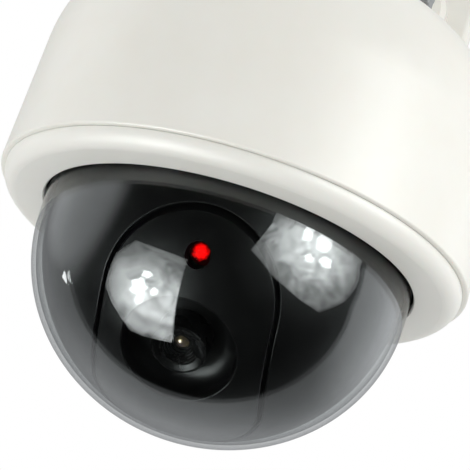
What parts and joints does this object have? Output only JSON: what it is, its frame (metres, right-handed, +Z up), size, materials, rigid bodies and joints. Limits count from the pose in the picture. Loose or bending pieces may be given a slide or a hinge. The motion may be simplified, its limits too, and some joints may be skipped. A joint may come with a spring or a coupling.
{
  "type": "dome camera",
  "caption": "Dome camera on a wall arm: swivelling round housing, twist-off clear dome and a black camera head that pans inside it.",
  "frame": {"origin": "centre of the wall plate's back face, on the wall", "axes": "+Z up, -Y out of the wall towards the viewer, +X to the right when facing the wall"},
  "size_m": [0.12, 0.174, 0.208],
  "materials": {
    "white_plastic": "satin moulded white",
    "bezel_white": "satin moulded white",
    "clear_dome": "clear polished plastic",
    "black_gloss": "polished black",
    "black_satin": "satin black",
    "lens_glass": "coated lens",
    "red_led": "red epoxy, lit",
    "natural_nylon": "natural nylon",
    "grey_plastic": "moulded grey",
    "zinc_steel": "bright zinc plated",
    "spring_steel": "nickel plated",
    "gasket_rubber": "soft black",
    "circuit_board": "green solder mask",
    "component_black": "moulded epoxy",
    "battery_sleeve": "printed film sleeve, plain"
  },
  "bodies": {
    "bracket": {"wall_plate": "white_plastic", "bracket_arm": "white_plastic", "arm_screws": "zinc_steel", "clamp_nut": "zinc_steel", "swivel_washer": "natural_nylon"},
    "clamp": {"lock_screw": "zinc_steel", "lock_knob": "grey_plastic"},
    "housing": {"housing_shell": "white_plastic", "neck_tube": "white_plastic", "neck_screws": "zinc_steel", "chassis_plate": "black_satin", "chassis_screws": "zinc_steel", "pan_washer": "natural_nylon", "battery_box": "black_satin", "cover_pin": "spring_steel", "battery_cells": "battery_sleeve", "battery_contacts": "spring_steel", "battery_springs": "spring_steel", "flasher_board": "circuit_board", "board_parts": "component_black", "board_screws": "zinc_steel", "switch_body": "spring_steel"},
    "cover": {"bezel_ring": "bezel_white", "dome": "clear_dome", "dome_gasket": "gasket_rubber", "dome_retainer": "black_satin", "retainer_screws": "zinc_steel"},
    "head": {"turntable": "black_satin", "pan_clip": "spring_steel", "head_liner": "black_gloss", "liner_screws": "zinc_steel", "lens_panel": "black_gloss", "lens_barrel": "black_satin", "barrel_nut": "black_satin", "lens_hood": "black_satin", "lens_glass": "lens_glass", "lens_cell": "black_satin", "status_led": "red_led", "led_leads": "zinc_steel", "led_board": "circuit_board", "led_screws": "zinc_steel"},
    "battery_door": {"battery_cover": "black_satin"},
    "switch": {"switch_slider": "component_black"}
  },
  "joints": [
    {"name": "housing_swivel", "type": "hinge", "parent": "bracket", "child": "housing", "pos_m": [0, -0.114, -0.0265], "axis": [0, 0, 1], "range_deg": [-170, 170]},
    {"name": "clamp_turn", "type": "hinge", "parent": "bracket", "child": "clamp", "pos_m": [0, -0.114, -0.0265], "axis": [1, 0, 0], "range_deg": [0, 360]},
    {"name": "cover_twist", "type": "hinge", "parent": "housing", "child": "cover", "pos_m": [0, -0.114, -0.112], "axis": [0, 0, 1], "range_deg": [-22, 0]},
    {"name": "head_pan", "type": "hinge", "parent": "housing", "child": "head", "pos_m": [0, -0.114, -0.1015], "axis": [0, 0, 1], "range_deg": [-168, 168]},
    {"name": "battery_door_hinge", "type": "hinge", "parent": "housing", "child": "battery_door", "pos_m": [0, -0.1, -0.0789], "axis": [1, 0, 0], "range_deg": [0, 90]},
    {"name": "power_switch", "type": "slide", "parent": "housing", "child": "switch", "axis": [1, 0, 0], "range_m": [0, 0.0025]}
  ]
}
